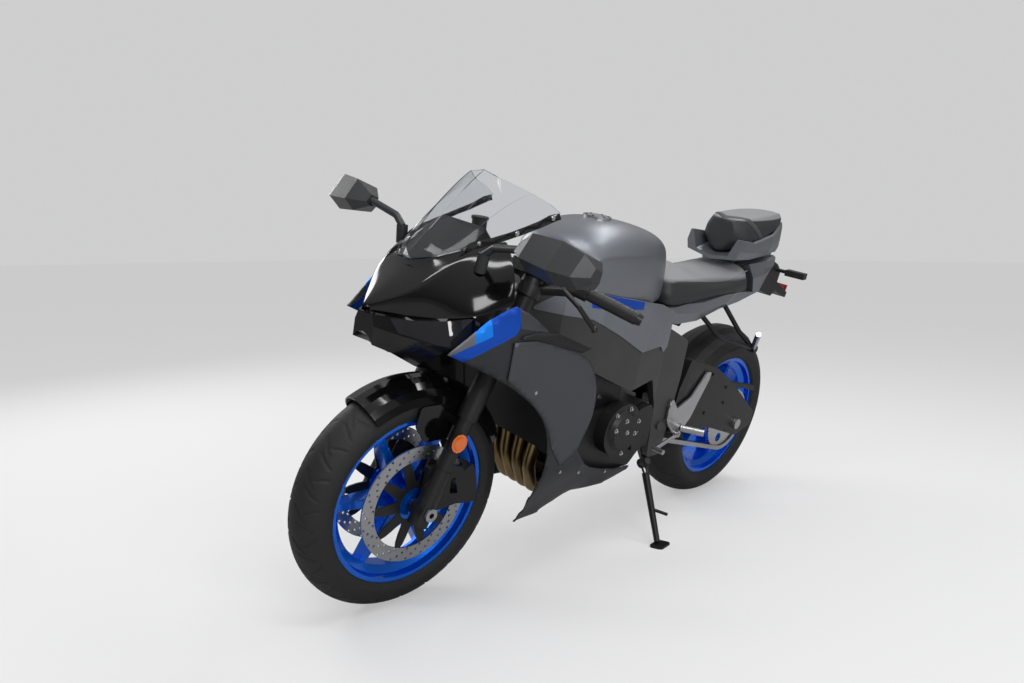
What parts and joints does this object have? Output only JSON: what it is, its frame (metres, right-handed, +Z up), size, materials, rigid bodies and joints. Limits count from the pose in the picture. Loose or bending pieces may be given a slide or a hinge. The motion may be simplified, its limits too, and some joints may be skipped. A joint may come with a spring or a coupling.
{
  "type": "sport motorcycle",
  "caption": "Faired road motorcycle leaning on its side stand, with inverted fork, raised seat cowl, blue cast wheels, steering bars and a folding stand",
  "frame": {"origin": "middle of the box of the parked motorcycle, at road level", "axes": "+X forward, +Y to the rider's left, +Z up"},
  "size_m": [2.0916, 0.8836, 1.101],
  "materials": {
    "alloy": "satin",
    "black_alloy": "satin",
    "black_plastic": "matte",
    "blue_wheel": "gloss",
    "engine_black": "satin",
    "exhaust_steel": "heat tinted",
    "frame_grey": "satin",
    "gloss_black": "gloss",
    "graphite_panel": "matte",
    "grip_rubber": "matte",
    "lamp_glass": "gloss",
    "radiator_black": "matte",
    "red_lens": "gloss",
    "satin_tank_grey": "satin",
    "screen_clear": "gloss",
    "seat_vinyl": "matte",
    "silencer_steel": "brushed",
    "steel": "brushed",
    "tyre_rubber": "matte"
  },
  "bodies": {
    "chassis": {"main_frame": "frame_grey", "frame_covers": "satin_tank_grey", "engine": "engine_black", "engine_covers": "engine_black", "radiator": "radiator_black", "exhaust_headers": "exhaust_steel", "silencer": "silencer_steel", "fuel_tank": "satin_tank_grey", "tank_cap": "alloy", "rider_seat": "seat_vinyl", "pillion_seat": "seat_vinyl", "tail_cowl": "satin_tank_grey", "plate_bracket": "black_plastic", "tail_lamp": "red_lens", "rear_signals": "black_plastic", "nose_cowl": "gloss_black", "headlamps": "lamp_glass", "windscreen": "screen_clear", "instrument_panel": "black_plastic", "mirrors": "graphite_panel", "side_fairing_left": "graphite_panel", "side_fairing_right": "graphite_panel", "swingarm": "black_alloy", "rear_axle": "steel", "chain": "steel", "rear_hugger": "black_plastic", "rear_shock": "black_alloy", "rear_caliper": "black_alloy", "footrest_left": "alloy", "footrest_right": "alloy", "pillion_footrests": "black_alloy"},
    "steering": {"fork_legs": "black_alloy", "front_axle": "steel", "steering_clamps": "black_alloy", "clip_on_bars": "black_alloy", "grips": "grip_rubber", "fluid_pot": "black_plastic", "front_calipers": "black_alloy", "front_mudguard": "gloss_black"},
    "front_wheel": {"front_rim": "blue_wheel", "front_tyre": "tyre_rubber", "front_discs": "steel"},
    "rear_wheel": {"rear_rim": "blue_wheel", "rear_tyre": "tyre_rubber", "rear_disc": "steel", "rear_sprocket": "alloy"},
    "side_stand": {"side_stand": "black_alloy"}
  },
  "joints": [
    {"name": "steering", "type": "hinge", "parent": "chassis", "child": "steering", "pos_m": [0.50367, -0.04361, 0.77143], "axis": [-0.3986, 0.2094, 0.8929], "range_deg": [-24.4, 29.6]},
    {"name": "front_wheel_spin", "type": "hinge", "parent": "steering", "child": "front_wheel", "pos_m": [0.74609, -0.1567, 0.29462], "axis": [0.0416, 0.9767, -0.2105], "continuous": true},
    {"name": "rear_wheel_spin", "type": "hinge", "parent": "chassis", "child": "rear_wheel", "pos_m": [-0.65388, -0.15205, 0.30911], "axis": [0, 0.9736, -0.2284], "continuous": true},
    {"name": "side_stand_fold", "type": "hinge", "parent": "chassis", "child": "side_stand", "pos_m": [-0.13389, -0.03296, 0.22565], "axis": [0.1805, 0.8609, 0.4757], "range_deg": [0, 100]}
  ]
}
